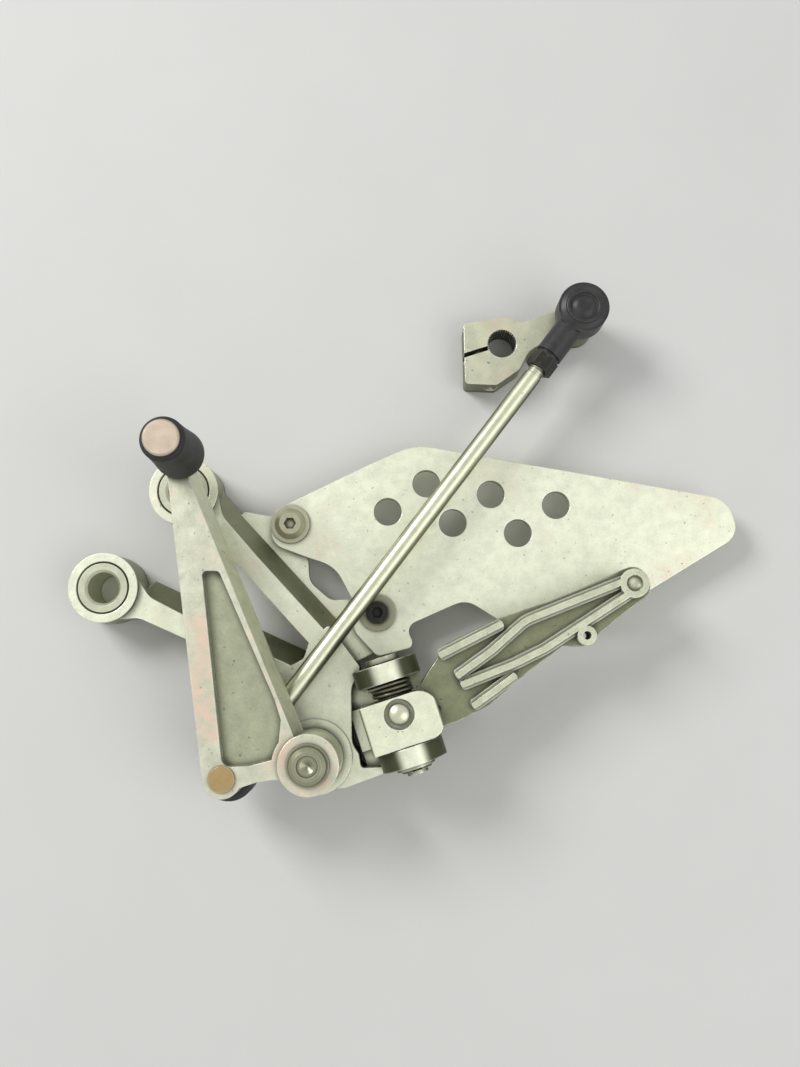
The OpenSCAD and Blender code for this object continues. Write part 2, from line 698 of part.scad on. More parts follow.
// Knuckle of the footpeg
lock_seat = 2;
module peg_knuckle() {
    nose_r = 7.5;
    color([0.9, 0.91, 0.82]) at_hinge() difference() {
        union() {
            intersection() {
                translate([0, knuckle_y1, 0]) rotate([90, 0, 0]) linear_extrude(knuckle_w)
                    polygon(rounded([
                        [-knuckle_back, knuckle_rise, 1.2], [-knuckle_back, -barrel_r, 3],
                        [knuckle_front - 2, -barrel_r, 3], [knuckle_front, knuckle_rise, 1.2]
                    ]));
                slab(-hinge_z, hinge_z) polygon(rounded([
                    [-knuckle_back, knuckle_y0, 0.8], [knuckle_front, knuckle_y0, nose_r - 2],
                    [knuckle_front, knuckle_y1, nose_r], [-knuckle_back, knuckle_y1, 0.8]
                ]));
            }
            barrel(barrel_r, knuckle_y0, 0);
            barrel(spring_r - spring_wire_r - side_play, 0, ear_gap / 2 - side_play);
        }
        barrel(pin_r, -ear_gap, ear_gap);
        translate([0, 0, knuckle_rise - lock_seat]) cylinder(r = lock_head_r + 1.8, h = lock_seat + over);
        cylinder(r = lock_r, h = knuckle_rise);
        peg_socket(0);
    }
}
// Slot under the knuckle's nose that takes the footpeg's root
module peg_socket(play) {
    translate([pin_r + 3, knuckle_y0 - over, -barrel_r - over])
        cube([30, knuckle_w + 2 * over, barrel_r + over + 2]);
}
// Domed screw that locks the hinge pin in the knuckle
module pin_lock_screw() {
    color([0.82, 0.83, 0.72]) at_hinge() {
        translate([0, 0, pin_r - 2]) cylinder(r = lock_r, h = knuckle_rise - lock_seat - pin_r + 2);
        translate([0, 0, knuckle_rise - lock_seat]) intersection() {
            cylinder(r = lock_head_r, h = 4);
            translate([0, 0, 2.4 - lock_head_r * 1.5]) sphere(r = lock_head_r * 1.5);
        }
    }
}

// Folding footpeg: a ribbed casting, in a frame whose X runs from the pin to the tip
tip_r = 6;
peg_plan = peg_len / 107;
peg_outline = rounded([
    [peg_root, knuckle_y0, 1.5], [19, -13.4, 3], [30.7, -13.6, 6], [45, -10.6, 8], [66, -7.6, 3],
    [72.6, -11.6, 3], [82, -10, 6], [91, -8.4, 8], [peg_len, -tip_r, tip_r - 0.2],
    [peg_len, tip_r, tip_r - 0.2], [85, 7.6, 8], [71, 9.2, 12], [52, 12.6, 6], [28, 13.9, 5],
    [17, 8.2, 4], [peg_root, knuckle_y1 - 2, 1.5]
]);
upper_rib = [[25, 1.6], [41, 3.6], [58, 7.4], [101, 2.2]] * peg_plan;
lower_rib = [[25, -2], [46, -4.6], [59, -5.2], [101, -2.2]] * peg_plan;
edge_rib = [[23, 11.4], [50, 10.6]] * peg_plan;
front_rib = [[25, -11], [45, -8.4]] * peg_plan;
side_boss = [75.5, -8.4] * peg_plan;
side_boss_r = 3.6;
module footpeg() {
    tip = [peg_len - tip_r, 0];
    color([0.6, 0.61, 0.5]) at_hinge() difference() {
        union() {
            rotate([0, 0, peg_turn]) {
                slab(2 - peg_t, 2) polygon(peg_outline);
                rib(upper_rib);
                rib(lower_rib);
                rib(edge_rib);
                rib(front_rib);
                post(tip, tip_r - 0.5, 1, 2 + rib_h);
                post(side_boss, side_boss_r, 2 - peg_t, 5);
            }
        }
        translate([-20, -40, -20]) cube([20 + knuckle_front - 3.4, 80, 40]);
        rotate([0, 0, peg_turn]) {
            translate([tip[0], tip[1], 2 + rib_h + 3]) rotate([90, 0, 0]) sphere(r = 4.4);
            post(side_boss, 1.6, -20, 20);
        }
        translate([knuckle_front - 0.8, knuckle_mid, -hinge_z]) cylinder(r = 1.6, h = hinge_z + 8);
    }
}
// Rounded outline of a band of the given half width along a line of points
function band(line, half) =
    let (
        last = len(line) - 1,
        off = [for (i = [0:last])
            let (way = unit(line[min(i + 1, last)] - line[max(i - 1, 0)]))
            [-way[1], way[0]] * half],
        round_r = [for (i = [0:last]) i == 0 || i == last ? half * 0.7 : 14]
    )
    rounded(concat(
        [for (i = [0:last]) [line[i][0] + off[i][0], line[i][1] + off[i][1], round_r[i]]],
        [for (i = [last:-1:0]) [line[i][0] - off[i][0], line[i][1] - off[i][1], round_r[i]]]
    ));
// Rib in two steps along a line of points
module rib(line) {
    slab(1, 2 + rib_h * 0.5) polygon(band(line, 2.3));
    slab(1, 2 + rib_h) polygon(band(line, 1.2));
}
// Screw that holds the footpeg to the knuckle from below
module footpeg_bolt() {
    color([0.3, 0.3, 0.28]) at_hinge() translate([knuckle_front - 0.8, knuckle_mid, 0]) {
        translate([0, 0, 2 - peg_t - 2]) cylinder(r = 2.6, h = 2);
        translate([0, 0, 2 - peg_t]) cylinder(r = 1.6, h = peg_t);
    }
}

hanger();
front_eye_collar();
top_eye_collar();
heel_guard();
front_guard_bolt();
rear_guard_bolt();
rear_guard_washer();
pivot_bolt();
pivot_washer();
pedal();
pivot_bush();
toe_peg_stem();
toe_peg_rubber();
lower_ball_stud();
lower_rod_end();
lower_boot();
lower_jam_nut();
shift_rod();
upper_jam_nut();
upper_rod_end();
upper_boot();
upper_ball_stud();
spindle_arm();
hinge_pin();
hinge_washer();
hinge_clip();
return_spring();
peg_knuckle();
pin_lock_screw();
footpeg();
footpeg_bolt();
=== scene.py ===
"""Looks of a motorcycle footrest bracket.

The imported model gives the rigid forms: the cast hanger, the heel guard, the gear pedal, the
shift rod with its rod ends, the spindle arm and the folding footpeg. This file gives each of
them its finish and softens the edges of some. It adds what is finer than a casting: the ribs
of the boots, the threads, the rings of a cap, the splines that grip the spindle, the return
spring and the marks of machining. Class fields are in millimetres, meshes in metres.
"""

import json
import logging
import math
from dataclasses import dataclass, field
from enum import Enum
from typing import Any, Iterable, Sequence

import bmesh
import bpy
from mathutils import Matrix, Vector


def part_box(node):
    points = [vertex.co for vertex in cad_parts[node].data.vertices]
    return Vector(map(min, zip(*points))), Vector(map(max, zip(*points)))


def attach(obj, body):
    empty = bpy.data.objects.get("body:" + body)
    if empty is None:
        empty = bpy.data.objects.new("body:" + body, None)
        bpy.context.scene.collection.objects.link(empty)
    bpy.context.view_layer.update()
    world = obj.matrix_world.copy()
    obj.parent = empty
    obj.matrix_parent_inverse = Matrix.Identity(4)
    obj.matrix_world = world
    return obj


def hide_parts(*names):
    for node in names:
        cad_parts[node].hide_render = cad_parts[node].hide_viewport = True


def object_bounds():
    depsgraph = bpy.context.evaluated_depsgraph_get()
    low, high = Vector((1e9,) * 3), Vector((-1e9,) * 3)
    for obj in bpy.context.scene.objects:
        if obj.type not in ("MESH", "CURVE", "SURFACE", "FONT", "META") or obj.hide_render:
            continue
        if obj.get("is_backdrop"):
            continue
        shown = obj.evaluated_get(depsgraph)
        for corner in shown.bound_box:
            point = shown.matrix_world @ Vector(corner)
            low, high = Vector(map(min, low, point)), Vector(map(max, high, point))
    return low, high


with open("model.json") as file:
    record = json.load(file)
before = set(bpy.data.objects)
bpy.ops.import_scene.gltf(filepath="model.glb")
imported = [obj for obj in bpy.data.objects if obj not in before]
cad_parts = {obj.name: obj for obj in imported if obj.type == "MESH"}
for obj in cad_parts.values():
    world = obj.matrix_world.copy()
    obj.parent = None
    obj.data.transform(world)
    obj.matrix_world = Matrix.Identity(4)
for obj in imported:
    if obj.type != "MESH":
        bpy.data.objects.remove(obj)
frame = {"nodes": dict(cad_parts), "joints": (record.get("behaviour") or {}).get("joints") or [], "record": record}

LOG = logging.getLogger("footrest")
MM = 0.001
UP = Vector((0, 0, 1))
ASIDE = Vector((1, 0, 0))
ALMOST_ALONG = 0.95  # cosine between two directions that are too near each other for a frame
SEAM_M = 1e-7  # points that a lathe lays this near each other are one
WELD_M = 1e-5  # points of a CAD mesh that are this near each other are one
SOFT_DEGREES = 32.0  # edges sharper than this are softened, where a piece asks for it

Colour = tuple[float, float, float]
Place = tuple[float, float, float]
Corner = tuple[float, float]
Number = float | int


def linear(colour: Colour) -> tuple[float, float, float, float]:
    """Turns a colour written as 0 to 255 into the linear values that a shader takes.

    Args:
        colour: red, green and blue as seen on a screen.

    Returns:
        Linear red, green, blue and an alpha of 1.
    """
    knee, slope, lift, gamma = 0.04045, 12.92, 0.055, 2.4
    parts = [c / 255 for c in colour]
    flat = [c / slope if c <= knee else ((c + lift) / (1 + lift)) ** gamma for c in parts]
    return (flat[0], flat[1], flat[2], 1.0)


class Value:
    """A shader socket that takes part in Python arithmetic."""

    def __init__(self, graph: "Graph", socket: Any) -> None:
        """Keeps the graph and one of its output sockets."""
        self.graph = graph
        self.socket = socket

    def math(self, operation: str, *values: "Value | Number") -> "Value":
        """Adds a Math node.

        Args:
            operation: name of the Math node's operation.
            values: its inputs in order.

        Returns:
            The node's result.
        """
        return self.graph.node("ShaderNodeMath", {"operation": operation}, dict(enumerate(values)))

    def __add__(self, other: "Value | Number") -> "Value":
        """Adds."""
        return self.math("ADD", self, other)

    def __radd__(self, other: Number) -> "Value":
        """Adds to a number."""
        return self.math("ADD", other, self)

    def __sub__(self, other: "Value | Number") -> "Value":
        """Subtracts."""
        return self.math("SUBTRACT", self, other)

    def __rsub__(self, other: Number) -> "Value":
        """Subtracts from a number."""
        return self.math("SUBTRACT", other, self)

    def __mul__(self, other: "Value | Number") -> "Value":
        """Multiplies."""
        return self.math("MULTIPLY", self, other)

    def __rmul__(self, other: Number) -> "Value":
        """Multiplies a number."""
        return self.math("MULTIPLY", other, self)

    def __truediv__(self, other: "Value | Number") -> "Value":
        """Divides."""
        return self.math("DIVIDE", self, other)

    def __rtruediv__(self, other: Number) -> "Value":
        """Divides a number."""
        return self.math("DIVIDE", other, self)

    def __pow__(self, other: "Value | Number") -> "Value":
        """Raises to a power."""
        return self.math("POWER", self, other)

    def __rpow__(self, other: Number) -> "Value":
        """Raises a number to it."""
        return self.math("POWER", other, self)

    def step(self, low: float, high: float) -> "Value":
        """Turns the value into a soft step.

        Args:
            low: value that gives 0.
            high: value that gives 1; below low, the step runs the other way.

        Returns:
            A value from 0 to 1.
        """
        if high < low:
            return 1 - self.step(high, low)
        settings = {"interpolation_type": "SMOOTHSTEP", "clamp": True}
        inputs = {"Value": self, "From Min": low, "From Max": high}
        return self.graph.node("ShaderNodeMapRange", settings, inputs)

    def swing(self) -> "Value":
        """Gives how far a noise is from its middle."""
        return self - 0.5

    def unsigned(self) -> "Value":
        """Drops the sign."""
        return self.math("ABSOLUTE", self)

    def limited(self) -> "Value":
        """Holds the value between 0 and 1."""
        return self.graph.node("ShaderNodeClamp", {}, {"Value": self})

    def beside(self, output: str) -> "Value":
        """Gives another output of the same node."""
        return Value(self.graph, self.socket.node.outputs[output])


class Graph:
    """The node tree of a material or of the world."""

    def __init__(self, owner: bpy.types.Material | bpy.types.World) -> None:
        """Empties the tree of its owner."""
        owner.use_nodes = True
        self.tree = owner.node_tree
        self.tree.nodes.clear()

    def node(
        self,
        kind: str,
        settings: dict[str, Any] | None = None,
        inputs: dict[int | str, Any] | None = None,
        output: int | str = 0,
    ) -> Value:
        """Adds a node.

        Args:
            kind: the node's type.
            settings: its properties, set first.
            inputs: a value or a link for each socket, by name or number.
            output: the output socket wanted.

        Returns:
            That output; its socket is None where the node has no output.
        """
        made = self.tree.nodes.new(kind)
        for key, value in (settings or {}).items():
            setattr(made, key, value)
        for key, value in (inputs or {}).items():
            if isinstance(value, Value):
                self.tree.links.new(value.socket, made.inputs[key])
            else:
                made.inputs[key].default_value = value
        return Value(self, made.outputs[output] if made.outputs else None)

    def vector(self, operation: str, *vectors: Any, output: int | str = 0) -> Value:
        """Adds a Vector Math node.

        Args:
            operation: name of the operation.
            vectors: its inputs in order.
            output: output wanted, "Value" for a number.

        Returns:
            The result.
        """
        inputs = dict(enumerate(vectors))
        return self.node("ShaderNodeVectorMath", {"operation": operation}, inputs, output)

    def mix(self, amount: Value | float, under: Any, over: Any) -> Value:
        """Lays one colour over another.

        Args:
            amount: 0 for the first colour, 1 for the second.
            under: first colour, a Value or red, green and blue from 0 to 255.
            over: second colour.

        Returns:
            The mixed colour.
        """
        first, second = (c if isinstance(c, Value) else linear(c) for c in (under, over))
        inputs = {0: amount, 6: first, 7: second}  # Factor, A and B of a mix of colours
        return self.node("ShaderNodeMix", {"data_type": "RGBA"}, inputs, 2)

    def part(self, vector: Value, axis: str) -> Value:
        """Gives the X, Y or Z part of a vector."""
        return self.node("ShaderNodeSeparateXYZ", {}, {0: vector}, axis)


class Surface(Graph):
    """The node tree of one finish."""

    def __init__(self, name: str) -> None:
        """Starts an empty material of that name."""
        self.material = bpy.data.materials.new(name)
        super().__init__(self.material)
        self.place = self.node("ShaderNodeTexCoord", output="Object")
        self.facing = self.node("ShaderNodeTexCoord", output="Normal")

    def tilt(self) -> Value:
        """Gives 1 where a face points up, 0 where it stands and -1 where it points down."""
        return self.part(self.facing, "Z")

    def noise(
        self, size: float, detail: float = 3.0, rough: float = 0.55, where: Value | None = None,
    ) -> Value:
        """Adds a noise over the piece.

        Args:
            size: size of its spots in millimetres.
            detail: number of finer layers.
            rough: strength of the finer layers.
            where: coordinates in metres, the piece's own if none are given.

        Returns:
            A value round 0.5.
        """
        inputs = {
            "Vector": where or self.place, "Scale": 1 / (size * MM),
            "Detail": detail, "Roughness": rough,
        }
        return self.node("ShaderNodeTexNoise", {}, inputs)

    def rings(self, middle: Sequence[float], size: float) -> Value:
        """Adds a noise that runs in rings round an upright axis, as a lathe tool leaves it.

        Args:
            middle: X and Y of the axis in metres.
            size: width of the rings in millimetres.

        Returns:
            A value round 0.5.
        """
        out = self.vector("SUBTRACT", self.place, (middle[0], middle[1], 0))
        flat = self.vector("MULTIPLY", out, (1, 1, 0))
        radius = self.vector("LENGTH", flat, output="Value")
        where = self.node("ShaderNodeCombineXYZ", {}, {0: radius})
        return self.noise(size, 2.0, 0.6, where)

    def rounded(self, radius: float, samples: int = 5) -> Value:
        """Gives the normal that a piece would have with rounded edges.

        Args:
            radius: radius of the edges in millimetres.
            samples: number of rays that look for them.

        Returns:
            The normal.
        """
        return self.node("ShaderNodeBevel", {"samples": samples}, {"Radius": radius * MM})

    def rim(self, width: float) -> Value:
        """Marks the edges, where a tool, a boot or a hand rubs and where a painted highlight is laid.

        Args:
            width: width of the mark in millimetres.

        Returns:
            1 on an edge, 0 on a flat.
        """
        true = self.node("ShaderNodeNewGeometry", output="True Normal")
        same = self.vector("DOT_PRODUCT", self.rounded(width), true, output="Value")
        return (1 - same).step(0.015, 0.16)

    def hollow(self, reach: float) -> Value:
        """Marks the corners, where grime stays and where shade is painted.

        Args:
            reach: depth of the shade in millimetres.

        Returns:
            1 deep in a corner, 0 in the open.
        """
        inputs = {"Distance": reach * MM}
        open_sky = self.node("ShaderNodeAmbientOcclusion", {"samples": 6}, inputs, "AO")
        return open_sky.step(0.93, 0.42)

    def toned(self, base: Value, tone: Value) -> Value:
        """Lightens or darkens a colour.

        Args:
            base: the colour.
            tone: how much lighter or darker it gets, round 0.

        Returns:
            The changed colour.
        """
        share = tone + 1.0
        grey = self.node("ShaderNodeCombineXYZ", {}, {0: share, 1: share, 2: share})
        return self.vector("MULTIPLY", base, grey)

    def bump(self, height: Value, depth: float, under: Value | None = None) -> Value:
        """Adds a Bump node.

        Args:
            height: the relief, from 0 to 1.
            depth: its depth in millimetres.
            under: normal that it is laid on.

        Returns:
            The normal.
        """
        inputs = {"Height": height, "Distance": depth * MM, "Strength": 1.0}
        if under is not None:
            inputs["Normal"] = under
        return self.node("ShaderNodeBump", {}, inputs)

    def finish(self, base: Value, rough: Value | float, **sockets: Any) -> bpy.types.Material:
        """Closes the tree with a Principled shader.

        Args:
            base: the colour.
            rough: the roughness.
            sockets: value or link for other sockets whose name is one word.

        Returns:
            The material.
        """
        inputs = {"Base Color": base, "Roughness": rough, **sockets}
        shader = self.node("ShaderNodeBsdfPrincipled", {}, inputs)
        self.node("ShaderNodeOutputMaterial", {}, {"Surface": shader})
        return self.material


@dataclass(frozen=True)
class Look:
    """What every finish holds: its slot in the record and the colour of its faces.

    An upright finish runs in rings round the vertical axis of its piece.
    """

    slot: str
    face: Colour
    upright: bool = field(default=False, kw_only=True)

    def make(self, middle: Sequence[float] | None) -> bpy.types.Material:
        """Builds the material.

        Args:
            middle: X and Y of the piece's axis in metres, if the finish is upright.

        Returns:
            The material.
        """
        raise NotImplementedError


@dataclass(frozen=True)
class CastAlloy(Look):
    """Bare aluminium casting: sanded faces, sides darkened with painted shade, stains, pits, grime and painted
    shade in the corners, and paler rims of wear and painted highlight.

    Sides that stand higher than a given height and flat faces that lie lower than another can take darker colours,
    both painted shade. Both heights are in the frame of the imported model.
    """

    # colour of the sloped and upright faces, darkened as painted shade
    side: Colour
    # colour of grime in pits, and of grime and painted shade in creases
    dirt_and_shade: Colour = (62, 62, 44)
    stain: Colour = (226, 204, 182)
    # colour of the paler rims: wear and painted highlight
    edge: Colour = (250, 250, 240)
    rough: float = 0.42
    metal: float = 0.55
    relief: float = 0.05
    stains: float = 0.45
    spread: float = 0.0
    mottle: float = 0.16
    # darker colour of sunk floors, laid as painted shade
    recess_shade: Colour | None = None
    recess_height: float = 0.0
    recess_blend: float = 0.4
    # darker colour of the sides above the high limit: painted shade on the hanger's ears
    raised_shade: Colour | None = None
    raised_height: float = 0.0
    raised_blend: float = 0.6
    tilted: float = 0.8
    crease_dirt_and_shade: float = 0.95
    pitted: float = 0.55
    edge_wear_and_highlight: float = 0.8
    cloud_size: float = 26.0
    patch_size: float = 5.5
    pit_size: float = 1.6
    grain_size: float = 0.7
    rim_width: float = 0.8
    edge_r: float = 0.5
    reach: float = 3.5

    def faces(self, g: Surface) -> tuple[Value, Value, Value]:
        """Colours the casting by the tilt and the height of its faces, with painted shade on sloped faces, high
        sides and sunk floors.

        Args:
            g: the node tree.

        Returns:
            The colour, how flat a face lies and how far stains can take hold of it.
        """
        height = g.part(g.place, "Z") / MM
        # Painted shade: faces that lie less flat than the tilted limit take the darker side colour.
        flat = g.tilt().unsigned().step(self.tilted, 0.99)
        side = self.side
        # Painted shade on the sides above that height, and a narrower painted highlight where the face colour
        # stays on their rounded tops.
        if self.raised_shade is not None:
            low, high = (self.raised_height + d for d in (-self.raised_blend, self.raised_blend))
            lifted = height.step(low, high)
            side = g.mix(lifted, self.side, self.raised_shade)
            flat = flat ** (lifted * 1.6 + 1)
        base = g.mix(flat, side, self.face)
        if self.recess_shade is None:
            return base, flat, flat
        # Painted shade: flat faces below the sunk height take the darker floor colour.
        low, high = (self.recess_height + d for d in (self.recess_blend, -self.recess_blend))
        sunk = height.step(low, high) * flat
        return g.mix(sunk, base, self.recess_shade), flat, flat * (1 - sunk)

    def make(self, middle: Sequence[float] | None) -> bpy.types.Material:
        """Builds the material.

        Args:
            middle: X and Y of an upright axis, which a casting has no use for.

        Returns:
            The material.
        """
        g = Surface(self.slot)
        cloud, patch = g.noise(self.cloud_size, 4), g.noise(self.patch_size, 5, 0.65)
        grain = g.noise(self.grain_size, 3, 0.7)
        base, flat, open_to_stains = self.faces(g)
        base = g.toned(base, patch.swing() * self.mottle * 3 + grain.swing() * self.mottle * 1.6)
        stained = (cloud + self.spread).step(0.52, 0.68) * (patch + self.spread).step(0.42, 0.62)
        base = g.mix(stained * open_to_stains * self.stains, base, self.stain)
        pits = g.noise(self.pit_size, 2, 0.5).step(0.69, 0.75)
        base = g.mix(pits * self.pitted, base, self.dirt_and_shade)
        # Grime and painted shade darken the creases and the lines where parts meet.
        crease = g.hollow(self.reach) * (patch * 0.5 + 0.62)
        base = g.mix(crease.limited() * self.crease_dirt_and_shade, base, self.dirt_and_shade)
        # Paler rims on the edges: wear and painted highlight.
        edge_wear_and_highlight_mask = g.rim(self.rim_width) * patch.step(0.3, 0.55) * (1 - crease.limited())
        base = g.mix(edge_wear_and_highlight_mask * self.edge_wear_and_highlight, base, self.edge)
        rough = self.rough + patch.swing() * 0.3 + crease * 0.22 - edge_wear_and_highlight_mask * 0.14 - flat * 0.05
        uneven = g.bump(patch, self.relief * 2.4, g.rounded(self.edge_r))
        normal = g.bump(grain, self.relief, uneven)
        return g.finish(base, rough.limited(), Metallic=self.metal, Normal=normal)


@dataclass(frozen=True)
class TurnedSteel(Look):
    """Turned or drawn metal: fine lines round an axis, a satin shine, grime and painted shade in the corners,
    painted shade on the flanks where a side colour is given, and paler rims of wear and painted highlight.
    """

    # darker colour of faces turned away from up and down: painted shade on a rod's flanks
    side: Colour | None = None
    # colour of grime and painted shade in the corners
    dirt_and_shade: Colour = (52, 50, 42)
    # colour of the paler rims: wear and painted highlight
    edge: Colour = (244, 243, 232)
    stain: Colour = (150, 122, 84)
    rough: float = 0.3
    metal: float = 0.85
    stains: float = 0.25
    mottle: float = 0.14
    crease_dirt_and_shade: float = 0.8
    edge_wear_and_highlight: float = 0.6
    patch_size: float = 4.0
    spot_size: float = 2.4
    grain_size: float = 0.35
    ring_size: float = 0.3
    line_depth: float = 0.012
    rim_width: float = 0.4
    edge_r: float = 0.25
    reach: float = 2.2

    def make(self, middle: Sequence[float] | None) -> bpy.types.Material:
        """Builds the material.

        Args:
            middle: X and Y in metres of the upright axis that it was turned on, if it has one.

        Returns:
            The material.
        """
        g = Surface(self.slot)
        patch = g.noise(self.patch_size, 4, 0.6)
        if middle is None:
            fine = g.noise(self.grain_size, 3, 0.6)
        else:
            fine = g.rings(middle, self.ring_size)
        # Painted shade: faces turned away from up and down take the side colour.
        flat = g.tilt().unsigned().step(0.3, 0.96)
        base = g.mix(flat, self.side or self.face, self.face)
        base = g.toned(base, patch.swing() * self.mottle * 2.4 + fine.swing() * self.mottle * 1.6)
        spots = g.noise(self.spot_size, 4, 0.7).step(0.56, 0.7) * self.stains
        base = g.mix(spots, base, self.stain)
        # Grime and painted shade darken the corners.
        crease = g.hollow(self.reach)
        base = g.mix(crease * self.crease_dirt_and_shade, base, self.dirt_and_shade)
        # Paler rims on the edges: wear and painted highlight.
        base = g.mix(g.rim(self.rim_width) * (1 - crease) * self.edge_wear_and_highlight, base, self.edge)
        rough = self.rough + patch.swing() * 0.25 + spots * 0.3 + crease * 0.3
        normal = g.bump(fine, self.line_depth, g.rounded(self.edge_r, 4))
        return g.finish(base, rough.limited(), Metallic=self.metal, Normal=normal)


@dataclass(frozen=True)
class Moulded(Look):
    """Black moulding or rubber: fine grain, dust on top, paler rims of wear and painted highlight."""

    dust: Colour = (118, 117, 110)
    # colour of the paler rims: wear and painted highlight
    edge: Colour = (92, 92, 90)
    rough: float = 0.55
    relief: float = 0.03
    dusty: float = 0.22
    edge_wear_and_highlight: float = 0.5
    patch_size: float = 5.0
    speck_size: float = 0.9
    grain_size: float = 0.5
    rim_width: float = 0.5

    def make(self, middle: Sequence[float] | None) -> bpy.types.Material:
        """Builds the material.

        Args:
            middle: X and Y of an upright axis, which a moulding has no use for.

        Returns:
            The material.
        """
        g = Surface(self.slot)
        upward = g.tilt().step(-0.2, 1.0)
        patch, grain = g.noise(self.patch_size, 4, 0.6), g.noise(self.grain_size, 4, 0.7)
        specks = g.noise(self.speck_size, 3, 0.7).step(0.6, 0.78)
        lying = patch.step(0.4, 0.75) * 0.6 + specks * 0.7
        dust = lying * (upward * 0.8 + 0.2) * self.dusty
        base = g.mix(dust.limited(), self.face, self.dust)
        # Paler rims on the edges: wear and painted highlight.
        edge_wear_and_highlight_mask = g.rim(self.rim_width) * patch.step(0.3, 0.6)
        base = g.mix(edge_wear_and_highlight_mask * self.edge_wear_and_highlight, base, self.edge)
        rough = self.rough + patch.swing() * 0.3 + dust * 0.4 - edge_wear_and_highlight_mask * 0.1
        normal = g.bump(grain, self.relief, g.bump(patch, self.relief * 1.5))
        return g.finish(base, rough.limited(), Normal=normal)


class Finish(Enum):
    """Every finish of the bracket, by its slot in the record."""

    # A casting's second colour is that of its sloped and upright faces, darkened as painted shade; the hanger's
    # darker high sides and the darker sunk floors of the pedal and the peg are painted shade too.
    HANGER = CastAlloy(
        "cast_alloy", (242, 246, 220), (140, 143, 116), raised_shade=(72, 75, 50), raised_height=18.6,
    )
    GUARD = CastAlloy(
        "guard_alloy", (246, 250, 224), (196, 199, 174), stains=0.5, spread=0.02, relief=0.02,
    )
    PEDAL = CastAlloy(
        "pedal_alloy", (220, 222, 198), (210, 213, 186), stain=(240, 208, 186), stains=0.7,
        spread=0.07, mottle=0.2, relief=0.08, recess_shade=(178, 182, 154), recess_height=40.3,
    )
    PEG = CastAlloy(
        "peg_alloy", (204, 208, 180), (112, 114, 88), stains=0.2, mottle=0.24, relief=0.12,
        recess_shade=(136, 140, 110), recess_height=29.0,
    )
    KNUCKLE = CastAlloy("knuckle_alloy", (238, 242, 214), (146, 148, 122), relief=0.06)
    ARM = CastAlloy(
        "arm_alloy", (212, 214, 187), (122, 124, 100), stains=0.7, spread=0.06, relief=0.06,
    )
    COLLAR = TurnedSteel("collar_alloy", (208, 211, 186), rough=0.36, metal=0.7, upright=True)
    TOE = TurnedSteel("collar_alloy", (206, 190, 170), rough=0.4, metal=0.6, stains=0.1)
    # The rod's second colour darkens its flanks as painted shade.
    ROD = TurnedSteel("rod_steel", (208, 211, 184), (70, 72, 50), rough=0.34)
    BOLT = TurnedSteel("bolt_steel", (156, 158, 131), upright=True)
    # The paler edge colours of the bolts are rims of wear and painted highlight.
    DULL_BOLT = TurnedSteel(
        "bolt_steel", (184, 184, 158), edge=(206, 208, 182), rough=0.44, upright=True,
    )
    DOME = TurnedSteel("bolt_steel", (214, 216, 190), rough=0.36)
    # The pin's second colour darkens its flanks as painted shade.
    PIN = TurnedSteel("bolt_steel", (196, 198, 172), (96, 98, 74))
    BLACK = TurnedSteel("black_steel", (44, 44, 40), edge=(120, 120, 106), rough=0.42, metal=0.5)
    ZINC = TurnedSteel("yellow_zinc", (190, 164, 116), stains=0.5)
    SPRING = TurnedSteel("spring_steel", (128, 128, 108))
    BRONZE = TurnedSteel("bush_bronze", (160, 142, 104))
    ROD_END = Moulded("rod_end_black", (34, 34, 35), rough=0.42)
    BOOT = Moulded("boot_rubber", (24, 24, 25), rough=0.7, relief=0.05)
    SLEEVE = Moulded("toe_rubber", (34, 34, 35), rough=0.62, relief=0.06)


class Paint:
    """Makes each finish once and puts it on pieces and CAD nodes."""

    def __init__(self) -> None:
        """Starts with no material made."""
        self.made: dict[tuple[Finish, tuple[float, ...]], bpy.types.Material] = {}

    def of(self, finish: Finish, middle: Sequence[float] | None) -> bpy.types.Material:
        """Gives the finish's material.

        Args:
            finish: the finish.
            middle: X and Y of the upright axis that a turned piece has.

        Returns:
            The material, made at its first use.
        """
        key = (finish, tuple(round(v, 5) for v in middle or ()))
        if key not in self.made:
            self.made[key] = finish.value.make(middle)
        return self.made[key]

    def on(
        self, thing: bpy.types.Object, finish: Finish, middle: Sequence[float] | None = None,
    ) -> None:
        """Puts a finish on a piece in place of what it has.

        Args:
            thing: a new piece or a CAD node.
            finish: the finish.
            middle: X and Y of the upright axis that a turned piece has.
        """
        thing.data.materials.clear()
        thing.data.materials.append(self.of(finish, middle))


PAINT = Paint()


def point(xyz: Iterable[float]) -> Vector:
    """Turns millimetres into a place in metres."""
    return Vector(xyz) * MM


def joint(name: str) -> dict[str, Any]:
    """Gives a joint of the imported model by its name."""
    return next(j for j in frame["joints"] if j["name"] == name)


def frame_at(origin: Vector, along: Vector, up: Vector) -> Matrix:
    """Gives the frame whose Z runs along a direction and whose X points up.

    Args:
        origin: its origin.
        along: direction of its Z axis.
        up: rough direction of its X axis.

    Returns:
        The matrix.
    """
    z = along.normalized()
    x = (up - z * up.dot(z)).normalized()
    y = z.cross(x)
    turn = Matrix((x, y, z)).transposed().to_4x4()
    return Matrix.Translation(origin) @ turn


def row(
    mesh: bmesh.types.BMesh, turn: Matrix, angle: float, corners: Iterable[Corner],
) -> list[bmesh.types.BMVert]:
    """Adds the corners of a section that stands at an angle round the Z axis of a frame.

    Args:
        mesh: the mesh.
        turn: the frame.
        angle: the angle in radians.
        corners: radius and height of each corner, in millimetres.

    Returns:
        The new points.
    """
    x, y = math.cos(angle), math.sin(angle)
    return [mesh.verts.new(turn @ point((r * x, r * y, z))) for r, z in corners]


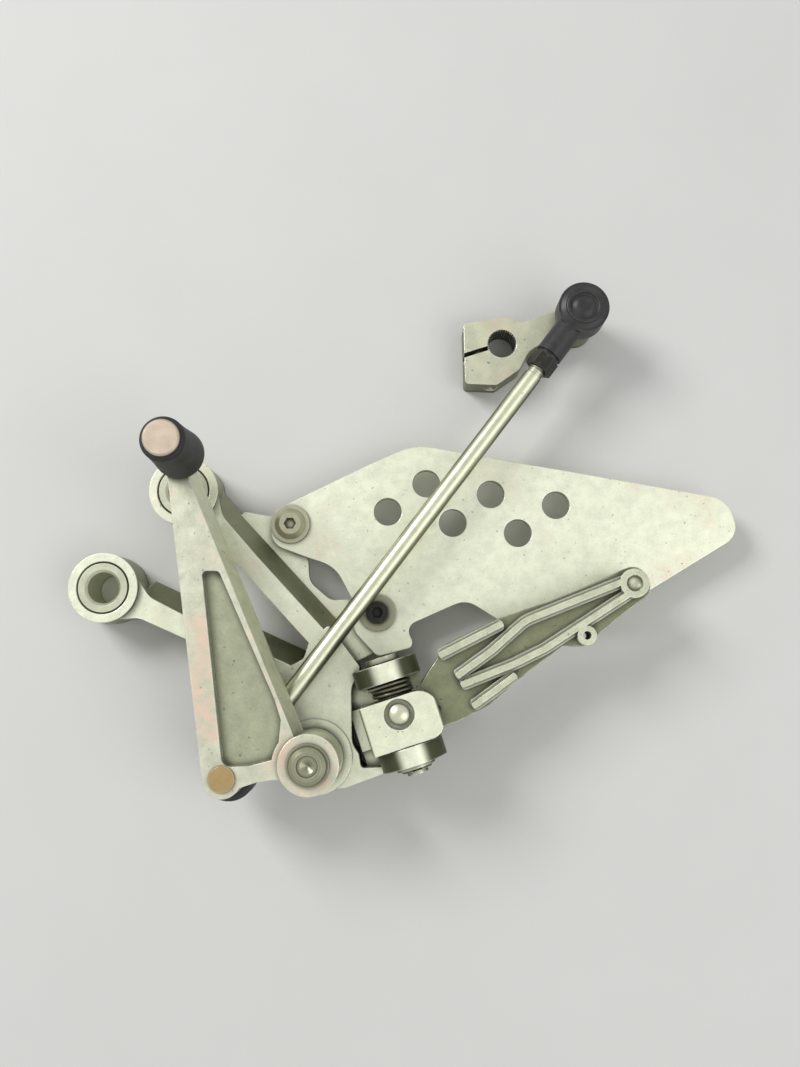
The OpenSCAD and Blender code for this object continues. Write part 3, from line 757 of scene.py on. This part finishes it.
def skin(
    mesh: bmesh.types.BMesh, rows: list[list[bmesh.types.BMVert]], round_trip: bool, closed: bool,
) -> None:
    """Covers the room between neighbouring rows of points with faces.

    Args:
        mesh: the mesh.
        rows: rows of equally many points.
        round_trip: whether the last row meets the first.
        closed: whether the last point of a row meets its first.
    """
    after = rows[1:] + (rows[:1] if round_trip else [])
    for one, two in zip(rows, after):
        count = len(one)
        for k in range(count if closed else count - 1):
            j = (k + 1) % count
            mesh.faces.new((one[k], one[j], two[j], two[k]))


def lathe(profile: Sequence[Corner], turn: Matrix, sides: int) -> bmesh.types.BMesh:
    """Turns a closed profile round the Z axis of a frame.

    Args:
        profile: radius and height of each corner, in millimetres.
        turn: frame of the piece.
        sides: number of sides round the axis.

    Returns:
        The mesh.
    """
    mesh = bmesh.new()
    rows = [row(mesh, turn, 2 * math.pi * k / sides, profile) for k in range(sides)]
    skin(mesh, rows, round_trip=True, closed=True)
    bmesh.ops.remove_doubles(mesh, verts=mesh.verts, dist=SEAM_M)
    return mesh


def tube(path: Sequence[Vector], radius: float, sides: int) -> bmesh.types.BMesh:
    """Sweeps a round section along a path.

    Args:
        path: points in metres.
        radius: radius in millimetres.
        sides: number of sides of the section.

    Returns:
        The mesh, closed at both ends.
    """
    mesh = bmesh.new()
    last = len(path) - 1
    side = UP
    rows = []
    for i, here in enumerate(path):
        way = (path[min(i + 1, last)] - path[max(i - 1, 0)]).normalized()
        if abs(way.dot(side)) > ALMOST_ALONG:
            side = way.orthogonal()
        side = (side - way * way.dot(side)).normalized()
        turn = frame_at(here, way, side)
        angles = (2 * math.pi * k / sides for k in range(sides))
        rows.append([row(mesh, turn, angle, [(radius, 0.0)])[0] for angle in angles])
    skin(mesh, rows, round_trip=False, closed=True)
    for end in (rows[0], rows[-1]):
        mesh.faces.new(end)
    return mesh


def piece(
    name: str, mesh: bmesh.types.BMesh, body: str, finish: Finish, sharp: float,
) -> bpy.types.Object:
    """Makes an object of a finished mesh and hangs it on its body.

    Args:
        name: name of the piece.
        mesh: its mesh in metres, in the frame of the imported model.
        body: CAD body that it rides on.
        finish: its finish.
        sharp: angle in degrees above which an edge stays sharp.

    Returns:
        The object.
    """
    bmesh.ops.recalc_face_normals(mesh, faces=mesh.faces)
    data = bpy.data.meshes.new(name)
    mesh.to_mesh(data)
    mesh.free()
    data.shade_smooth()
    data.set_sharp_from_angle(angle=math.radians(sharp))
    made = bpy.data.objects.new(name, data)
    bpy.context.scene.collection.objects.link(made)
    PAINT.on(made, finish)
    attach(made, body)
    LOG.info("%s rides on %s, %d faces", name, body, len(data.polygons))
    return made


@dataclass
class Dressing:
    """A set of CAD nodes, the finish of each and the edges that are softened."""

    finishes: dict[str, Finish]
    rounding: dict[str, float] = field(default_factory=dict)

    def build(self) -> None:
        """Adds no piece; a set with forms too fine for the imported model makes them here."""

    def dress(self) -> None:
        """Puts the finishes on the nodes and softens the edges that are named."""
        for name, finish in self.finishes.items():
            node = frame["nodes"][name]
            low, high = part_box(name)
            PAINT.on(node, finish, ((low + high) / 2)[:2] if finish.value.upright else None)
            if name in self.rounding:
                self.soften(node, self.rounding[name])
            LOG.info("%s keeps its form, finish %s", name, finish.name)

    def soften(self, node: bpy.types.Object, width: float) -> None:
        """Breaks the sharp edges of a node.

        Args:
            node: the CAD node.
            width: width of the broken edges in millimetres.
        """
        weld = node.modifiers.new("weld", "WELD")
        weld.merge_threshold = WELD_M
        bevel = node.modifiers.new("soft_edges", "BEVEL")
        bevel.width = width * MM
        bevel.segments = 2
        bevel.limit_method = "ANGLE"
        bevel.angle_limit = math.radians(SOFT_DEGREES)
        bevel.harden_normals = True


@dataclass
class Hanger(Dressing):
    """Cast hanger with its collars, guard and fixings."""

    finishes: dict[str, Finish] = field(default_factory=lambda: {
        "hanger": Finish.HANGER, "heel_guard": Finish.GUARD,
        "front_eye_collar": Finish.COLLAR, "top_eye_collar": Finish.COLLAR,
        "front_guard_bolt": Finish.DULL_BOLT, "rear_guard_bolt": Finish.BLACK,
        "rear_guard_washer": Finish.BOLT,
        "pivot_bolt": Finish.BOLT, "pivot_washer": Finish.BOLT,
    })
    rounding: dict[str, float] = field(default_factory=lambda: {"heel_guard": 0.4})


@dataclass
class Pedal(Dressing):
    """Gear pedal with its bush, toe peg and lower ball stud."""

    finishes: dict[str, Finish] = field(default_factory=lambda: {
        "pedal": Finish.PEDAL, "pivot_bush": Finish.BRONZE, "toe_peg_stem": Finish.TOE,
        "toe_peg_rubber": Finish.SLEEVE, "lower_ball_stud": Finish.ZINC,
    })
    rounding: dict[str, float] = field(default_factory=lambda: {
        "pedal": 0.6, "toe_peg_rubber": 0.5,
    })


@dataclass
class ShiftRod(Dressing):
    """Shift rod with two rod ends, jam nuts and boots."""

    finishes: dict[str, Finish] = field(default_factory=lambda: {
        "lower_rod_end": Finish.ROD_END, "upper_rod_end": Finish.ROD_END,
        "lower_jam_nut": Finish.BLACK, "upper_jam_nut": Finish.BLACK,
        "lower_boot": Finish.BOOT, "upper_boot": Finish.BOOT,
        "shift_rod": Finish.ROD,
    })
    thread_from: float = 24.0
    thread_to: float = 33.4
    thread_steps: int = 28
    pitch: float = 1.0
    root_r: float = 2.9
    crest_r: float = 3.32
    root_half: float = 0.42
    crest_half: float = 0.08
    stud_r: float = 3.3
    boot_r: float = 8.55
    boot_narrows: float = 3.6
    boot_curve: float = 1.5
    ribs: int = 3
    rib_depth: float = 0.35
    rib_steps: int = 8
    boot_sides: int = 72
    cap_sides: int = 80
    cap_profile: tuple[Corner, ...] = (
        (0.0, -0.5), (7.0, -0.5), (7.0, 0.25), (6.7, 0.5), (5.7, 0.5), (5.4, 0.25), (5.2, -0.1),
        (4.6, -0.1), (4.3, 0.2), (3.4, 0.75), (2.2, 1.05), (1.0, 1.15), (0.0, 1.18),
    )

    def build(self) -> None:
        """Makes the boots, the cap rings and the threads at both ends of the rod."""
        self.boot("lower_boot", UP)
        self.boot("upper_boot", -UP)
        self.cap()
        low, high = (Vector(joint(name)["pos_m"]) for name in ("lower_ball", "upper_ball"))
        self.thread("lower_thread", frame_at(low, high - low, UP))
        self.thread("upper_thread", frame_at(high, low - high, UP))

    def boot(self, node: str, way: Vector) -> None:
        """Builds the ribbed rubber boot that stands for a node.

        Args:
            node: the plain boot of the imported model.
            way: direction from its wide end, which touches the rod end, to its narrow one.
        """
        low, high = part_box(node)
        tall = (high.z - low.z) / MM
        foot = (low + high) / 2 - way * (high.z - low.z) / 2
        profile = [(self.stud_r, 0.0)]
        count = self.ribs * self.rib_steps
        for k in range(count + 1):
            share = k / count
            groove = self.rib_depth * (1 - abs(math.sin(math.pi * self.ribs * share)))
            narrowed = self.boot_narrows * share ** self.boot_curve
            profile.append((self.boot_r - groove - narrowed, tall * share))
        profile.append((self.stud_r, tall))
        turned = lathe(profile, frame_at(foot, way, ASIDE), self.boot_sides)
        made = piece(node + "_ribbed", turned, "rod", Finish.BOOT, sharp=50)
        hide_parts(node)

    def cap(self) -> None:
        """Turns the stepped rings of the upper rod end's closed cap."""
        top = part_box("upper_rod_end")[1].z
        ball = Vector(joint("upper_ball")["pos_m"])
        turn = Matrix.Translation(Vector((ball.x, ball.y, top)))
        turned = lathe(self.cap_profile, turn, self.cap_sides)
        piece("upper_cap_rings", turned, "rod", Finish.ROD_END, sharp=50)

    def thread(self, name: str, turn: Matrix) -> None:
        """Builds a screw thread that stands on the rod.

        Args:
            name: name of the piece.
            turn: frame whose Z runs along the thread.
        """
        mesh = bmesh.new()
        rows = []
        count = int((self.thread_to - self.thread_from) / self.pitch * self.thread_steps)
        for i in range(count + 1):
            turns, left = i / self.thread_steps, (count - i) / self.thread_steps
            z = self.thread_from + self.pitch * turns
            crest = self.root_r + (self.crest_r - self.root_r) * min(1.0, turns, left)
            rows.append(row(mesh, turn, 2 * math.pi * turns, (
                (self.root_r, z - self.root_half), (crest, z - self.crest_half),
                (crest, z + self.crest_half), (self.root_r, z + self.root_half),
            )))
        skin(mesh, rows, round_trip=False, closed=False)
        piece(name, mesh, "rod", Finish.ROD, sharp=60)


@dataclass
class SpindleArm(Dressing):
    """Split arm on the gearbox spindle, with the upper ball stud."""

    finishes: dict[str, Finish] = field(default_factory=lambda: {
        "spindle_arm": Finish.ARM, "upper_ball_stud": Finish.ZINC,
    })
    rounding: dict[str, float] = field(default_factory=lambda: {"spindle_arm": 0.5})
    teeth: int = 36
    root_r: float = 6.02
    web: float = 0.1
    tip_r: float = 5.5
    end_gap: float = 0.7

    def build(self) -> None:
        """Cuts the fine splines of the bore that grips the spindle."""
        bore = next(m for m in frame["record"]["mounts"] if m["name"] == "spindle_clamp")
        half = bore["dims"]["length_mm"] / 2 - self.end_gap
        turn = Matrix.Translation(Vector(bore["pos_m"]))
        radii = (self.root_r - self.web, self.tip_r, self.tip_r, self.root_r - self.web)
        mesh = bmesh.new()
        rows = []
        count = self.teeth * len(radii)
        for k in range(count):
            inner = radii[k % len(radii)]
            rows.append(row(mesh, turn, 2 * math.pi * (k + 0.5) / count, (
                (self.root_r, -half), (inner, -half), (inner, half), (self.root_r, half),
            )))
        skin(mesh, rows, round_trip=True, closed=True)
        piece("spindle_splines", mesh, "spindle_arm", Finish.ARM, sharp=30)


@dataclass
class Footpeg(Dressing):
    """Folding footpeg with its knuckle, pin and return spring."""

    finishes: dict[str, Finish] = field(default_factory=lambda: {
        "footpeg": Finish.PEG, "peg_knuckle": Finish.KNUCKLE, "pin_lock_screw": Finish.DOME,
        "hinge_pin": Finish.PIN, "hinge_washer": Finish.PIN, "hinge_clip": Finish.SPRING,
        "return_spring": Finish.SPRING, "footpeg_bolt": Finish.BLACK,
    })
    rounding: dict[str, float] = field(default_factory=lambda: {
        "peg_knuckle": 0.6, "footpeg": 0.5,
    })
    coil_r: float = 7.2
    coil_from: float = 7.3
    coil_to: float = 11.2
    coil_steps: int = 110
    turns: float = 2.25
    wire_r: float = 0.8
    wire_sides: int = 14
    leg: float = 8.5
    leg_steps: int = 8

    def build(self) -> None:
        """Winds the return spring, with its two straight legs."""
        hinge = joint("footpeg_fold")
        turn = frame_at(Vector(hinge["pos_m"]), -Vector(hinge["axis"]), UP)
        shares = [k / self.leg_steps for k in range(self.leg_steps + 1)]
        places = [(self.leg * (share - 1), self.coil_r, self.coil_from) for share in shares[:-1]]
        for k in range(self.coil_steps + 1):
            share = k / self.coil_steps
            a = 2 * math.pi * self.turns * share
            along = self.coil_from + (self.coil_to - self.coil_from) * share
            places.append((self.coil_r * math.sin(a), self.coil_r * math.cos(a), along))
        places += [(self.coil_r, -self.leg * share, self.coil_to) for share in shares[1:]]
        wire = tube([turn @ point(place) for place in places], self.wire_r, self.wire_sides)
        made = piece("return_spring_wire", wire, "bracket", Finish.SPRING, sharp=60)
        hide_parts("return_spring")


@dataclass(frozen=True)
class Lamp:
    """A square soft lamp that points at one place."""

    name: str
    at: Place
    size: float
    watts: float

    def hang(self, target: Place) -> None:
        """Hangs the lamp.

        Args:
            target: the place that it points at, in millimetres.
        """
        data = bpy.data.lights.new(self.name, "AREA")
        data.size, data.energy = self.size * MM, self.watts
        made = bpy.data.objects.new(self.name, data)
        made.location = point(self.at)
        made.rotation_euler = (point(target) - made.location).to_track_quat("-Z", "Y").to_euler()
        bpy.context.scene.collection.objects.link(made)


@dataclass
class Studio:
    """Pale floor, soft lights and the camera of the photograph."""

    camera_at: Place = (115.9, -24.15, 388.0)
    camera_tilt: float = 7.0
    sensor: float = 36.0
    lens: float = 42.75
    nearest: float = 10.0
    farthest: float = 50000.0
    floor_size: float = 9000.0
    floor_at: tuple[float, float] = (120.0, 0.0)
    floor_gap: float = 0.2
    floor_spots: float = 60.0
    ambient: float = 0.5
    target: Place = (110, 0, 15)
    lamps: tuple[Lamp, ...] = (
        Lamp("key", (-840, 740, 940), 560, 12.0), Lamp("fill", (760, -320, 760), 800, 2.7),
    )

    def build(self) -> None:
        """Builds the floor, the lights, the world and the camera."""
        self.floor()
        for lamp in self.lamps:
            lamp.hang(self.target)
        self.world()
        self.camera()
        bpy.context.scene.view_settings.view_transform = "Standard"

    def camera(self) -> None:
        """Stands the camera where the photograph was taken from."""
        eye = bpy.data.cameras.new("camera")
        eye.sensor_fit, eye.sensor_width, eye.lens = "HORIZONTAL", self.sensor, self.lens
        eye.clip_start, eye.clip_end = self.nearest * MM, self.farthest * MM
        made = bpy.data.objects.new("camera", eye)
        made.location = point(self.camera_at)
        made.rotation_euler = (math.radians(self.camera_tilt), 0, 0)
        bpy.context.scene.collection.objects.link(made)
        bpy.context.scene.camera = made

    def floor(self) -> None:
        """Lays a plain pale floor just under the bracket."""
        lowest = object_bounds()[0][2]
        mesh = bmesh.new()
        bmesh.ops.create_grid(mesh, x_segments=4, y_segments=4, size=self.floor_size * MM / 2)
        data = bpy.data.meshes.new("floor")
        mesh.to_mesh(data)
        mesh.free()
        made = bpy.data.objects.new("floor", data)
        made.location = (*(v * MM for v in self.floor_at), lowest - self.floor_gap * MM)
        bpy.context.scene.collection.objects.link(made)
        g = Surface("pale_floor")
        base = g.mix(g.noise(self.floor_spots), (226, 226, 223), (233, 233, 230))
        data.materials.append(g.finish(base, 0.85))
        made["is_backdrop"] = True

    def world(self) -> None:
        """Gives the world a white background and a softer light."""
        world = bpy.data.worlds.new("studio")
        bpy.context.scene.world = world
        g = Graph(world)
        seen = g.node("ShaderNodeLightPath", output="Is Camera Ray")
        clear = seen + seen.beside("Is Glossy Ray") + seen.beside("Is Transmission Ray")
        strength = clear.limited() * (1 - self.ambient) + self.ambient
        light = g.node("ShaderNodeBackground", {}, {"Strength": strength})
        g.node("ShaderNodeOutputWorld", {}, {"Surface": light})


def main() -> None:
    """Builds and dresses every sub-assembly."""
    logging.basicConfig(level=logging.INFO, format="%(name)s: %(message)s")
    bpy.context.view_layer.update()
    for assembly in (Hanger(), Pedal(), ShiftRod(), SpindleArm(), Footpeg()):
        assembly.build()
        assembly.dress()
    Studio().build()


if __name__ == "__main__":
    main()
